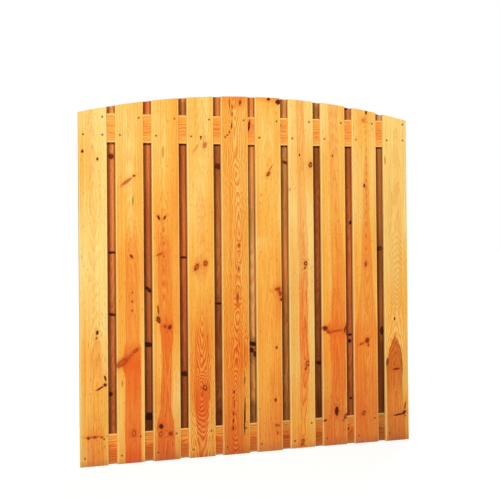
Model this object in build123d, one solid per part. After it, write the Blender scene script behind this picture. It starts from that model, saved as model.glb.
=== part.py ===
from build123d import *
import os

# Arched fence panel, nailed up from planed softwood planks.
#
# Front planks stand side by side with an open gap between them. Rear planks cover those gaps
# from behind, and two flat rails lie between the two rows, so air passes but no view does.
# Every plank is nailed to both rails, and all the tops follow one shallow arch.
#
# Millimetres, +Z up, +X to the right as seen from the front, and the front faces -Y. The origin
# is at floor level, in the middle of the panel's width and depth.

# Outline of the whole panel
panel_width = 1800.0
shoulder_height = 1700.0
arch_rise = 100.0

# Planks, front and rear alike, counted from 1 at the left
plank_width = 140.0
plank_thickness = 16.0
plank_edge_bevel = 2.0
gap_aim = 44.0
extra_widths = {5: 5.0}
short_feet = {2: 1.0, 6: 1.0, 7: 4.0, 8: 3.0, 9: 2.0}

# Rails between the two rows of planks
rail_height = 140.0
rail_thickness = 16.0
rail_edge_bevel = 1.5
rail_end_inset = 10.0
top_rail_drop = 3.0
bottom_rail_lift = 5.0

# Nails: the head is flush with the plank, and the point stays short of the rail's far face
nail_head_width = 6.5
nail_head_thickness = 1.2
nail_head_sides = 8
nail_shank_width = 2.4
nail_point_length = 4.0
nail_point_cover = 2.0
nail_clearance = 0.05

# Where the nails go: in from a plank's edges, and in from a rail's edges
nail_edge_inset = 22.0
upper_nail_inset = 18.0
lower_nail_inset = 36.0

# Layout that follows from the sizes above
crown_height = shoulder_height + arch_rise
arch_radius = ((panel_width / 2) ** 2 + arch_rise**2) / (2 * arch_rise)
panel_depth = 2 * plank_thickness + rail_thickness
front_face = -panel_depth / 2
rear_face = panel_depth / 2
front_count = round((panel_width + gap_aim) / (plank_width + gap_aim))
gap = (panel_width - front_count * plank_width) / (front_count - 1)
pitch = plank_width + gap
nail_length = plank_thickness + rail_thickness - nail_point_cover
rail_bottoms = {
    "top_rail": shoulder_height - top_rail_drop - rail_height,
    "bottom_rail": bottom_rail_lift,
}


def front_centre(number):
    """Middle of a front plank across the panel."""
    return -panel_width / 2 + plank_width / 2 + (number - 1) * pitch


def rear_centre(number):
    """Middle of a rear plank, which is the middle of the gap that it covers."""
    return front_centre(number) + pitch / 2


def planed_section(across, deep, bevel):
    """A planed board's section, with its four edges eased."""
    board = Rectangle(across, deep)
    return chamfer(board.vertices(), bevel)


def plank(centre, width, middle_y, foot):
    """One upright plank, its top sawn to the panel's arch."""
    section = Pos(centre, middle_y, foot) * planed_section(width, plank_thickness, plank_edge_bevel)
    blank = extrude(section, crown_height - foot)
    drum = Rot(90, 0, 0) * Cylinder(arch_radius, 2 * panel_depth)
    return blank & Pos(0, 0, crown_height - arch_radius) * drum


def rail(bottom):
    """One rail, standing on edge between the rows of planks, its ends set in behind the end planks."""
    section = Plane.YZ * planed_section(rail_thickness, rail_height, rail_edge_bevel)
    length = panel_width - 2 * rail_end_inset
    return Pos(-length / 2, 0, bottom + rail_height / 2) * extrude(section, length)


def nail(room=0.0):
    """A nail driven along +Y with the top of its head at the origin. Room widens it into its hole."""
    head = RegularPolygon(nail_head_width / 2 + room, nail_head_sides)
    shank = Rectangle(nail_shank_width + 2 * room, nail_shank_width + 2 * room)
    shank_length = nail_length - nail_point_length
    body = extrude(head, nail_head_thickness) + extrude(shank, shank_length)
    point = loft([Pos(0, 0, shank_length) * shank.face(), Vertex(0, 0, nail_length + room)])
    return Rot(-90, 0, 0) * (body + point)


def nail_places(centre, width, is_end=False):
    """(x, z) of one plank's nails: a rising diagonal at each rail, and a third at an end plank's top."""
    reach = width / 2 - nail_edge_inset
    places = []
    for name, bottom in rail_bottoms.items():
        upper = bottom + rail_height - upper_nail_inset
        lower = bottom + lower_nail_inset
        places += [(centre + reach, upper), (centre - reach, lower)]
        if is_end and name == "top_rail":
            places.append((centre + reach, lower))
    return places


def driven_from_front(places):
    """Where nails at those places go in through the front planks."""
    return [Pos(x, front_face, z) for x, z in places]


def driven_from_rear(places):
    """Where nails at those places go in through the rear planks, turned to face forward."""
    return [Pos(x, rear_face, z) * Rot(0, 0, 180) for x, z in places]


def drilled(wood, nails):
    """The wood with a close hole for each nail."""
    hole = nail(nail_clearance)
    return wood - [place * hole for place in nails]


def front_row():
    """The front planks by name, and where their nails are driven."""
    planks = {}
    all_nails = []
    for number in range(1, front_count + 1):
        centre = front_centre(number)
        width = plank_width + extra_widths.get(number, 0.0)
        nails = driven_from_front(nail_places(centre, width, number in (1, front_count)))
        blank = plank(centre, width, front_face + plank_thickness / 2, short_feet.get(number, 0.0))
        planks[f"front_plank_{number:02d}"] = drilled(blank, nails)
        all_nails += nails
    return planks, all_nails


def rear_row():
    """The rear planks by name, and where their nails are driven."""
    planks = {}
    all_nails = []
    for number in range(1, front_count):
        centre = rear_centre(number)
        nails = driven_from_rear(nail_places(centre, plank_width))
        blank = plank(centre, plank_width, rear_face - plank_thickness / 2, 0.0)
        planks[f"rear_plank_{number:02d}"] = drilled(blank, nails)
        all_nails += nails
    return planks, all_nails


def rails(nails):
    """Both rails by name, each drilled for the nails that reach it."""
    made = {}
    for name, bottom in rail_bottoms.items():
        own = [place for place in nails if bottom < place.position.Z < bottom + rail_height]
        made[name] = drilled(rail(bottom), own)
    return made


def nail_group(nails):
    """Like nails as one group of separate solids."""
    return Compound(children=[place * nail() for place in nails])


front_planks, front_nails = front_row()
rear_planks, rear_nails = rear_row()
nodes = {
    **front_planks,
    **rear_planks,
    **rails(front_nails + rear_nails),
    "front_nails": nail_group(front_nails),
    "rear_nails": nail_group(rear_nails),
}

os.makedirs("parts", exist_ok=True)
for node_name, shape in nodes.items():
    export_step(shape, f"parts/{node_name}.step")
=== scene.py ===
import math
from typing import NamedTuple

import bpy
import numpy as np
from bpy.props import FloatProperty, FloatVectorProperty, IntProperty, PointerProperty
from mathutils import Matrix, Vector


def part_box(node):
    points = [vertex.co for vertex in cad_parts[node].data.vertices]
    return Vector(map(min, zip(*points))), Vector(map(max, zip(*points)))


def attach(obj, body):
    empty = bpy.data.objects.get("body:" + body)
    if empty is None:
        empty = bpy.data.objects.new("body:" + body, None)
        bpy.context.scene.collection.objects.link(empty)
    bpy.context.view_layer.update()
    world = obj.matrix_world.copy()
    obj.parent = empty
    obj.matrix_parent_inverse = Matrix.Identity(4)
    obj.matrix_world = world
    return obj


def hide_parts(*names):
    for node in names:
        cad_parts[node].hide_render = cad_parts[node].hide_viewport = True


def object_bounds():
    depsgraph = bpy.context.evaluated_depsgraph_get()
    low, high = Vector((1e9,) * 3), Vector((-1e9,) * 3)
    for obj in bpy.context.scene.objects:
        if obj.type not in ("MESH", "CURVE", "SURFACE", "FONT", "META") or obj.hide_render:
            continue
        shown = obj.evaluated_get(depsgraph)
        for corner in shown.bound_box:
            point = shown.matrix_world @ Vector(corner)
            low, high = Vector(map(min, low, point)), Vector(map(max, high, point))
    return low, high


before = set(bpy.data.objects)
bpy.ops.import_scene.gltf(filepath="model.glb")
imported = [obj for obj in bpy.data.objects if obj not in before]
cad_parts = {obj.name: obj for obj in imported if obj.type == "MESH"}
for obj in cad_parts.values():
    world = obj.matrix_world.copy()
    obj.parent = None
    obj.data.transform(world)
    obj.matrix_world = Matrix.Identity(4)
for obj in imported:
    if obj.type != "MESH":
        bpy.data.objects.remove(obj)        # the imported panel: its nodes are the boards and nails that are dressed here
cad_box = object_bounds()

bl_info = {
    "name": "Arched Pine Fence Panel",
    "version": (1, 0, 0),
    "blender": (4, 5, 0),
    "location": "View3D > Sidebar > Fence",
    "description": "Dresses a nailed board-on-board fence panel in planed, knotty pine",
    "category": "Object",
}

MM = 0.001
BODY = "root"
WHITE = (1.0, 1.0, 1.0, 1.0)
FAR = 99.0  # a place so many half sizes away that no mark shows there
SHARP = math.radians(38)  # creases steeper than this stay sharp

# Painted light and shade on the rear planks: the strip of a rear plank painted as lit, as if light reached
# it through its gap, in millimetres from the plank's middle; beyond it the wood is painted in shade
LIT_FROM, LIT_TO = 8.0, 19.0
LIT_SHIFT = 0.6  # how far the strip moves to the right with each plank
LEFT_DIM = 11.0  # how far the light fades to the left of the strip
RIGHT_DIM = 5.0  # and to its right
UNLIT = 0.8  # how dark the plank is beyond that

# Each kind of board draws its own random numbers, and has its own place in the grain's noise
REAR_DRAW, REAR_GRAIN = 140, 20
RAIL_DRAW, RAIL_GRAIN = 200, 40

# Nails: what lies under the plank's face
SHANK_RADIUS = 1.2 * MM
HEAD_DEPTH = 1.2 * MM
POINT_LENGTH = 4.0 * MM

# The stage, in metres
AIM = (0.0, 0.0, 0.9)  # where the lamps look
FLOOR_HALF = 30.0
FLOOR_DROP = 0.5 * MM

# What each kind of mark lets through of the wood's own red, green and blue
LATEWOOD = (0.78, 0.37, 0.15, 1.0)
DARK_FIBRE = (0.86, 0.70, 0.50, 1.0)
RESIN_FLECK = (0.62, 0.42, 0.26, 1.0)
NAIL_STAIN = (0.5, 0.32, 0.2, 1.0)
# The last darkens the wood: painted shade on the rear planks in their gaps, and darker towards a front
# plank's foot and in stretches of the rails
SHADE_AND_DARKENING = (0.12, 0.085, 0.055, 1.0)


# The wood of each board, as it would be noted down at the saw bench. All lengths are millimetres.


class Knot(NamedTuple):
    """A knot on a board's face: its place, its half sizes, its lean in degrees, and its looks."""

    across: float
    height: float
    wide: float
    tall: float
    lean: float = 0.0
    dark: float = 0.9
    red: float = 0.5
    ring: float = 0.0


class Check(NamedTuple):
    """A drying crack along the grain: its place across, its two ends, its half width, depth and drift."""

    across: float
    low: float
    high: float
    wide: float
    depth: float
    drift: float = 0.0


class Chip(NamedTuple):
    """A piece torn from a front edge: the side (-1 left, 1 right), its place, half height and depth."""

    side: float
    height: float
    tall: float
    depth: float


class Board(NamedTuple):
    """How a board was cut from its log. Lists of points run from one end of the board to the other.

    pith: (height, across, depth behind the front face) of the log's centre.
    heart: (height, across, half width, strength) of the band of heartwood.
    tint: (height, tone at the left edge, tone at the right edge), from pale (-1) to orange (1).
    middle: (height, tone that the middle has beyond that of its edges).
    contrast: (height, strength) of the growth rings.
    shade: (height, strength) of the darkening on the front face: painted shade on a rear plank in its gap,
    darker towards a front plank's foot and in stretches of a rail.
    lit_strip: (left, right, strength) of a strip painted as lit, and how dark the painted shade is beyond
    it; on the bottom rail the lower half is darker.
    brown: how far the heartwood has turned from red to brown.
    far_side: how much paler the far face is than the front; the darker front of a rear plank is painted
    shade in its gap.
    pale_edge_and_highlight: the share of a half width that is paler beside each edge, partly paler sapwood
    and partly a painted highlight.
    """

    pith: tuple
    ring_width: float
    heart: tuple
    tint: tuple
    contrast: tuple
    shade: tuple = ((0, 0.22), (40, 0.06), (150, 0.02), (400, 0.0))
    lit_strip: tuple = (-200, 200, 0.0)
    middle: tuple = ((0, 0.0), (1800, 0.0))
    brown: float = 0.0
    far_side: float = 0.0
    pale_edge_and_highlight: float = 0.055
    knots: tuple = ()
    checks: tuple = ()
    chips: tuple = ()


# Darkening towards a plank's foot: the dullest feet, and greyed ones
DULL_FOOT = ((0, 0.26), (60, 0.1), (180, 0.08), (300, 0.05), (500, 0.0))
GREY_FOOT = ((0, 0.24), (60, 0.085), (180, 0.045), (300, 0.02), (450, 0.0))


def dashes(start, end, count, wide, tall, dark):
    """A broken line of small dark flecks between two (across, height) points."""
    flecks = []
    for number in range(count):
        share = number / (count - 1)
        across = start[0] + (end[0] - start[0]) * share
        height = start[1] + (end[1] - start[1]) * share
        flecks.append(Knot(across, height, wide, tall, dark=dark, red=0.3))
    return tuple(flecks)


FRONT_BOARDS = {
    1: Board(
        pith=(
            (0, 6, 45), (280, 8, 47), (525, 10, 53), (640, 15, 60), (900, 5, 85), (1250, 2, 66),
            (1800, -10, 95),
        ),
        ring_width=5.0,
        heart=(
            (0, 4, 44, 0.5), (130, 4, 44, 0.4), (280, 6, 40, 0.02), (525, 8, 30, 0.3),
            (600, 12, 14, 0.25), (645, 15, 2, 0.0), (1250, -10, 26, 0.0), (1450, -12, 26, 0.12),
            (1750, -14, 24, 0.12),
        ),
        tint=(
            (0, -0.3, 0.3), (310, -0.3, 0.2), (500, 0.0, -0.4), (700, -0.2, -0.95), (960, -0.55, -1.0),
            (1450, 0.2, -0.85), (1700, -0.35, -1.2),
        ),
        contrast=((0, 0.5), (640, 0.35), (800, 0.22), (1800, 0.22)),
        knots=(
            Knot(-52, 1512, 7, 9), Knot(22, 1475, 6, 9, 10, 0.8), Knot(17, 640, 8, 13, 5, 1.0),
            Knot(12, 612, 5, 7, 20, 0.5), Knot(55, 418, 6, 17, -14, 0.9),
            Knot(54, 387, 9, 10, -30, 0.9), Knot(28, 371, 5, 24, 62, 0.75, 0.7),
            Knot(-30, 137, 9, 7, 0, 0.75, 1.0), Knot(1, 139, 7, 7, 0, 0.85, 1.0),
            Knot(34, 138, 10, 6, 0, 0.75, 1.0), Knot(3, 141, 52, 5, 0, 0.0, 0.7),
        ),
    ),
    2: Board(
        pith=((0, 10, 36), (454, 11, 36), (700, 10, 47), (1002, 8, 55), (1300, 5, 75), (1800, 0, 90)),
        ring_width=6.0,
        heart=(
            (0, 10, 42, 1.3), (120, 10, 42, 1.0), (250, 10, 42, 0.9), (400, 12, 42, 1.0),
            (480, 6, 50, 1.1), (540, 10, 46, 0.9), (600, 10, 36, 0.55), (900, 10, 36, 0.5),
            (1050, 8, 34, 0.4), (1200, 5, 24, 0.0),
        ),
        tint=(
            (0, -0.1, 0.0), (250, -0.3, -0.25), (480, 0.2, -0.3), (930, 0.35, 0.35), (1210, -0.1, 0.1),
            (1450, -0.2, 0.25), (1700, -0.5, 0.0),
        ),
        contrast=((0, 0.3), (500, 0.25), (1000, 0.3), (1800, 0.2)),
        middle=((1100, 0.0), (1250, -0.15), (1450, -0.4), (1650, -0.1), (1800, 0.0)),
        knots=(
            Knot(-16, 1366, 8, 36, 54, 0.15, 0.8), Knot(22, 1395, 7, 6, 0, 0.75, 0.8),
            Knot(7, 1002, 7, 12, -35, 0.6, 0.8), Knot(10, 827, 5, 7, 0, 0.3, 0.7),
            Knot(10, 783, 5, 7, 0, 0.45, 0.7), Knot(9, 739, 5, 7, 0, 0.3, 0.7),
            Knot(-44, 488, 18, 37, 54, 0.25, 1.0, 0.2), Knot(-8, 516, 9, 24, 54, 0.0, 0.7),
            Knot(24, 543, 9, 18, 54, 0.35, 1.0, 0.3), Knot(13, 144, 12, 19, 0, 0.35, 0.9, 0.7),
        ),
        checks=(Check(16, 1240, 1304, 2.6, 1.5), Check(-45, 362, 410, 2.4, 1.5)),
    ),
    3: Board(
        pith=(
            (0, 0, 38), (150, -2, 40), (350, 0, 46), (600, 4, 43), (800, -6, 34), (1000, -10, 36),
            (1250, -12, 50), (1800, -10, 80),
        ),
        ring_width=5.0,
        heart=(
            (0, 0, 44, 0.95), (100, -5, 44, 1.0), (168, -10, 46, 1.0), (260, -6, 30, 0.9),
            (480, 0, 26, 0.85), (600, 2, 32, 0.95), (650, -2, 36, 0.9), (720, -6, 36, 0.5),
            (1000, -10, 38, 0.5), (1150, -14, 34, 0.05), (1260, -15, 20, 0.0),
        ),
        tint=(
            (0, 0.7, 0.1), (180, 0.0, -0.55), (300, 0.6, -0.95), (500, 0.25, -0.2), (700, 0.4, 0.4),
            (950, 0.3, 0.25), (1200, 0.1, 0.6), (1450, -0.1, 0.2), (1700, -0.3, 0.3),
        ),
        contrast=((0, 0.7), (600, 0.5), (1100, 0.4), (1400, 0.25), (1800, 0.2)),
        middle=((1050, 0.0), (1200, -0.2), (1450, -0.25), (1650, -0.15), (1800, 0.0)),
        shade=GREY_FOOT,
        knots=(
            Knot(-37, 1190, 7, 14, -28, 0.85, 0.8), Knot(-6, 1190, 6, 13, 30, 0.8, 0.8),
            *dashes((-12, 1131), (-14, 800), 6, 6, 11, 0.2), Knot(-34, 1010, 6, 22, 70, 0.2, 0.7),
            Knot(-42, 690, 12, 19, -12, 1.0, 0.5, 0.25), Knot(-43, 738, 5, 30, -3, 0.75, 0.2),
            Knot(16, 650, 9, 14, 15, 0.8, 1.0), Knot(-8, 655, 10, 8, 40, 0.3, 1.0),
            Knot(-32, 168, 13, 14, 0, 1.0, 0.9), Knot(-34, 130, 10, 16, 10, 0.5, 0.6, 0.6),
            Knot(18, 128, 14, 12, 0, 0.4, 0.9),
        ),
        checks=(Check(-12, 1475, 1545, 2.3, 1.2),),
    ),
    4: Board(
        pith=(
            (0, -4, 66), (100, -5, 58), (240, -5, 23), (330, 2, 1), (418, 4, 38), (560, 1, 22),
            (760, 1, 1), (900, 4, 20), (1000, 5, 32), (1800, 0, 85),
        ),
        ring_width=6.0,
        heart=(
            (0, 0, 27, 0.55), (100, -1, 28, 0.7), (180, -2, 33, 0.9), (240, -4, 38, 1.0),
            (300, -2, 44, 0.95), (360, 0, 46, 0.75), (420, 2, 44, 0.6), (560, 2, 40, 0.55),
            (700, 4, 30, 0.3), (830, 4, 18, 0.1), (943, 0, 36, 0.5), (1020, 0, 30, 0.2),
            (1200, 0, 28, 0.18), (1350, 0, 20, 0.0),
        ),
        tint=(
            (0, -0.1, 0.15), (170, -0.25, -0.25), (310, 0.25, -0.15), (690, 0.0, 0.5),
            (950, -0.15, 0.1), (1210, -0.75, 0.2), (1700, -0.05, -0.2),
        ),
        contrast=(
            (0, 0.9), (120, 1.1), (250, 1.5), (380, 1.4), (600, 1.0), (760, 0.4), (900, 0.2),
            (1800, 0.2),
        ),
        knots=(
            Knot(3, 1590, 6, 8, 0, 0.85), Knot(24, 1551, 12, 18, 20, 0.1, 0.75),
            Knot(-24, 1535, 4, 30, 35, 0.05, 0.45), Knot(-25, 943, 12, 21, 28, 0.5, 1.0, 0.45),
            Knot(23, 960, 12, 15, 20, 0.5, 1.0, 0.45), Knot(15, 342, 13, 15, 0, 0.75, 1.0, 0.8),
        ),
    ),
    5: Board(
        pith=(
            (0, -8, 34), (130, -10, 2), (240, -16, 7), (330, -9, 2), (430, -5, 26), (560, 1, 38),
            (640, 6, 24), (690, 9, 17), (740, 9, 26), (790, 9, 8), (860, 12, 26), (940, 18, 30),
            (1045, 20, 22), (1130, 19, 19), (1216, 18, 22), (1330, 12, 38), (1408, 6, 28),
            (1490, 4, 40), (1640, 0, 34), (1800, -6, 12),
        ),
        ring_width=6.0,
        heart=(
            (0, -10, 44, 0.5), (300, -8, 42, 0.45), (500, 0, 36, 0.45), (700, 8, 28, 0.2),
            (900, 10, 24, 0.3), (1045, 19, 20, 0.4), (1216, 18, 18, 0.2), (1300, 13, 14, 0.1),
            (1700, 20, 30, 0.0), (1790, 24, 34, 0.4),
        ),
        tint=(
            (0, 0.45, 0.55), (180, 0.6, -0.1), (300, 0.4, -0.2), (500, 0.5, 0.55), (700, 0.3, 0.1),
            (950, -0.05, -0.05), (1190, -0.15, 0.15), (1380, -0.05, -0.1), (1720, -0.05, -0.1),
            (1800, 0.3, 0.3),
        ),
        contrast=((0, 1.3), (600, 1.1), (1000, 0.9), (1800, 0.8)),
        shade=GREY_FOOT,
        knots=(
            Knot(-26, 1765, 3, 30, 0, 0.3, 0.9), Knot(-12, 1745, 3.5, 13, 0, 0.75),
            Knot(-12, 1709, 3.5, 13, 0, 0.7), Knot(-15, 1651, 4, 19, 4, 0.75),
            Knot(-28, 1619, 4, 8, 20, 0.75), Knot(-39, 1603, 6, 5, 0, 0.7),
            Knot(20, 1048, 6, 12, 0, 0.3, 1.0), Knot(17, 928, 5, 14, 0, 0.35, 1.0),
            Knot(9, 785, 7, 20, 0, 0.25, 1.0), Knot(-12, 312, 6, 9, 0, 0.85),
            *dashes((-18, 204), (-19, 132), 3, 4, 12, 0.8), Knot(31, 1768, 6, 13, 5, 0.55, 1.0),
            Knot(-12, 250, 3, 22, 0, 0.4, 0.9), Knot(47, 505, 3, 60, 1, 0.45, 0.3),
        ),
        checks=(Check(45, 74, 308, 5.4, 6.0, 3.0), Check(44, 318, 430, 1.9, 1.5, 4.0)),
    ),
    6: Board(
        pith=((0, 20, 70), (500, 15, 62), (1000, 5, 75), (1400, 0, 68), (1800, -5, 80)),
        ring_width=5.0,
        heart=(
            (0, 30, 44, 0.3), (300, 36, 40, 0.2), (600, 44, 34, 0.1), (760, 52, 34, 0.35),
            (830, 50, 34, 0.35), (890, 55, 20, 0.0),
        ),
        tint=(
            (0, 0.9, 0.8), (310, 0.3, 0.75), (490, 0.5, 0.4), (950, 0.35, 0.35), (1078, 0.2, 0.1),
            (1096, 0.75, -0.1), (1190, 0.8, -0.35), (1420, 0.3, -0.15), (1640, 0.1, -0.1),
            (1760, -0.1, -0.1), (1800, 0.4, 0.5),
        ),
        contrast=((0, 0.3), (1800, 0.2)),
        middle=(
            (100, -0.1), (400, -0.1), (700, -0.1), (1200, -0.2), (1450, -0.3), (1650, -0.4),
            (1800, 0.0),
        ),
        shade=GREY_FOOT,
        knots=(
            Knot(5, 1790, 10, 9, 0, 1.0), Knot(58, 1778, 16, 15, 0, 0.95),
            Knot(0, 1408, 9, 15, 32, 0.55, 1.0, 0.3), Knot(14, 1440, 4, 18, 35, 0.1, 0.7),
            Knot(46, 822, 8, 18, 75, 0.35, 1.0), Knot(60, 800, 10, 20, -10, 0.3, 1.0),
            Knot(67, 768, 8, 9, 0, 0.75, 1.0), Knot(38, 523, 6, 8, 20, 0.7, 0.7),
            Knot(30, 258, 7, 11, 0, 0.75, 0.8), Knot(34, 129, 9, 9, 30, 0.6, 0.6, 0.5),
            Knot(40, 90, 5, 10, 0, 0.4, 0.8),
        ),
    ),
    7: Board(
        pith=(
            (0, 0, 29), (150, 2, 34), (430, 18, 24), (760, 14, 27), (950, 18, 31), (1400, 5, 33),
            (1700, 0, 40),
        ),
        ring_width=4.6,
        heart=(
            (0, -2, 24, 0.05), (150, 2, 14, 0.3), (220, 4, 20, 0.5), (430, 12, 26, 0.7),
            (600, 8, 25, 0.75), (760, 8, 25, 0.7), (950, 10, 26, 0.45), (1200, 4, 28, 0.36),
            (1450, 0, 26, 0.2), (1700, -4, 24, 0.28),
        ),
        tint=(
            (0, 0.4, 0.25), (190, 0.2, -0.35), (510, -0.3, -1.0), (920, -0.55, -0.65),
            (1210, -0.65, -1.0), (1450, -0.15, -0.35), (1690, -0.5, -0.8),
        ),
        contrast=((0, 0.6), (300, 0.8), (760, 0.75), (1100, 0.4), (1800, 0.3)),
        knots=(
            Knot(-8, 1508, 5, 7, 0, 0.9), Knot(54, 1458, 12, 17, 10, 0.8, 0.7, 0.6),
            Knot(22, 948, 11, 15, -8, 0.7, 0.7, 0.6), Knot(17, 925, 5, 8, 20, 0.7),
            Knot(28, 434, 12, 16, 15, 0.65, 0.7, 0.75), Knot(18, 408, 5, 12, 25, 0.6, 0.8),
            Knot(-4, 31, 11, 20, 15, 0.4, 0.8, 0.4), Knot(-64, 1330, 6, 8, 0, 0.15, 0.4),
        ),
    ),
    8: Board(
        pith=(
            (0, 10, 46), (178, 9, 40), (444, 15, 42), (700, 14, 48), (1000, 10, 50), (1200, 11, 58),
            (1500, 8, 66), (1800, 5, 90),
        ),
        ring_width=5.4,
        heart=(
            (0, 5, 62, 0.45), (100, 5, 60, 0.45), (200, 15, 44, 0.6), (400, 24, 42, 0.75),
            (560, 22, 48, 0.85), (610, 10, 62, 0.8), (660, 24, 44, 0.65), (900, 26, 42, 0.4),
            (1050, 18, 36, 0.35), (1200, 10, 28, 0.3), (1700, 5, 28, 0.3),
        ),
        tint=(
            (0, 0.9, 0.65), (190, 0.9, 0.45), (310, 0.4, 0.65), (480, 0.75, 0.35), (920, 0.3, 0.0),
            (1210, -0.15, 0.0), (1460, 0.0, -0.1), (1690, -0.85, 0.15),
        ),
        contrast=((0, 0.45), (300, 0.5), (1100, 0.35), (1800, 0.25)),
        shade=DULL_FOOT,
        knots=(
            Knot(-3, 1505, 5, 7, 0, 0.7), Knot(-54, 610, 17, 14, 0, 0.85, 1.0),
            Knot(-36, 590, 7, 16, -60, 0.3, 1.0), Knot(10, 594, 7, 50, 84, 0.0, 0.85),
            Knot(63, 600, 7, 20, 20, 0.75, 1.0), Knot(9, 178, 13, 28, 0, 1.0, 0.8),
            Knot(61, 148, 10, 16, 25, 0.75, 0.8, 0.5), Knot(-58, 134, 12, 6, -20, 0.85),
        ),
        chips=(Chip(1, 598, 24, 7.0),),
    ),
    9: Board(
        pith=(
            (0, 0, 60), (535, 10, 48), (900, 8, 30), (1100, 9, 14), (1350, 8, 6), (1540, 12, 10),
            (1700, 8, 30),
        ),
        ring_width=5.0,
        heart=(
            (0, 0, 75, 0.45), (400, 0, 75, 0.5), (560, 0, 70, 0.6), (700, 5, 52, 0.5),
            (900, 8, 36, 0.5), (1050, 8, 28, 0.5), (1250, 9, 20, 0.4), (1400, 9, 14, 0.35),
            (1540, 12, 6, 0.1),
        ),
        tint=(
            (0, 0.75, 0.75), (190, 0.95, 0.65), (310, 0.75, 0.3), (510, 0.8, -0.3), (680, 0.3, -0.35),
            (960, 0.3, -0.25), (1230, -0.35, -0.4), (1450, -0.4, -0.4), (1690, -0.25, -0.45),
        ),
        contrast=((0, 0.3), (800, 0.4), (1800, 0.3)),
        shade=DULL_FOOT,
        knots=(
            Knot(14, 1737, 6, 14, 0, 1.0), Knot(-3, 1695, 14, 14, 0, 0.05, 0.5),
            *dashes((12, 1539), (10, 1215), 9, 2.2, 13, 0.45), Knot(-1, 1351, 7, 12, 0, 0.85, 0.7),
            *dashes((8, 1150), (7, 950), 4, 2.8, 12, 0.45), Knot(4, 938, 8, 16, 0, 0.45, 0.8),
            Knot(8, 537, 13, 16, 25, 0.55, 1.0), Knot(-26, 520, 7, 16, 75, 0.15, 1.0),
            Knot(14, 512, 6, 9, 0, 0.5, 1.0), Knot(-17, 157, 11, 15, 25, 0.6, 0.7, 0.5),
        ),
    ),
    10: Board(
        pith=(
            (0, -4, 39), (216, -5, 40), (418, -10, 43), (490, -8, 52), (560, -5, 60), (700, 0, 70),
            (850, 5, 40), (1100, 5, 80), (1700, 0, 95),
        ),
        ring_width=5.2,
        heart=(
            (0, -4, 46, 0.85), (130, -7, 46, 0.65), (200, -11, 43, 0.5), (320, -14, 43, 0.95),
            (400, -14, 44, 1.1), (454, -9, 38, 1.1), (475, -9, 35, 1.1), (517, -10, 22, 1.1),
            (561, -10, 1, 1.1), (568, -10, 1, 0.0), (660, 0, 26, 0.0), (740, 0, 32, 0.16),
            (950, -2, 34, 0.16), (1300, -6, 32, 0.12), (1600, -6, 26, 0.0),
        ),
        tint=(
            (0, 0.25, 0.3), (180, 0.15, 0.25), (310, 0.1, -0.3), (500, -0.3, -0.1), (690, -0.15, -0.1),
            (950, -0.5, -0.45), (1190, -0.35, -1.0), (1700, -0.8, -0.9),
        ),
        contrast=((0, 0.5), (420, 0.6), (500, 0.8), (560, 0.6), (850, 0.4), (1100, 0.3), (1800, 0.2)),
        shade=GREY_FOOT,
        brown=0.8,
        knots=(
            Knot(-11, 645, 5, 10, 0, 0.95, 0.2), Knot(-57, 418, 9, 24, 10, 0.7, 0.3),
            Knot(-3, 378, 6, 24, 86, 0.75, 0.6), Knot(12, 136, 5, 42, 84, 1.0, 0.5),
            Knot(47, 180, 4, 26, 8, 0.9, 0.5), Knot(42, 146, 8, 15, 60, 1.0, 0.5),
        ),
        checks=(Check(-59, 1458, 1512, 2.8, 1.5), Check(31, 320, 480, 1.8, 1.0, -6.0)),
    ),
}


class Sheltered(NamedTuple):
    """What shows of a rear plank in its gap: tone and painted shade by height, knots, red heart."""

    tint: tuple
    shade: tuple
    knots: tuple
    heart: float = 0.5


# Each rear plank's shade list is painted shade: how dark it is painted in its gap at each height
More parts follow.
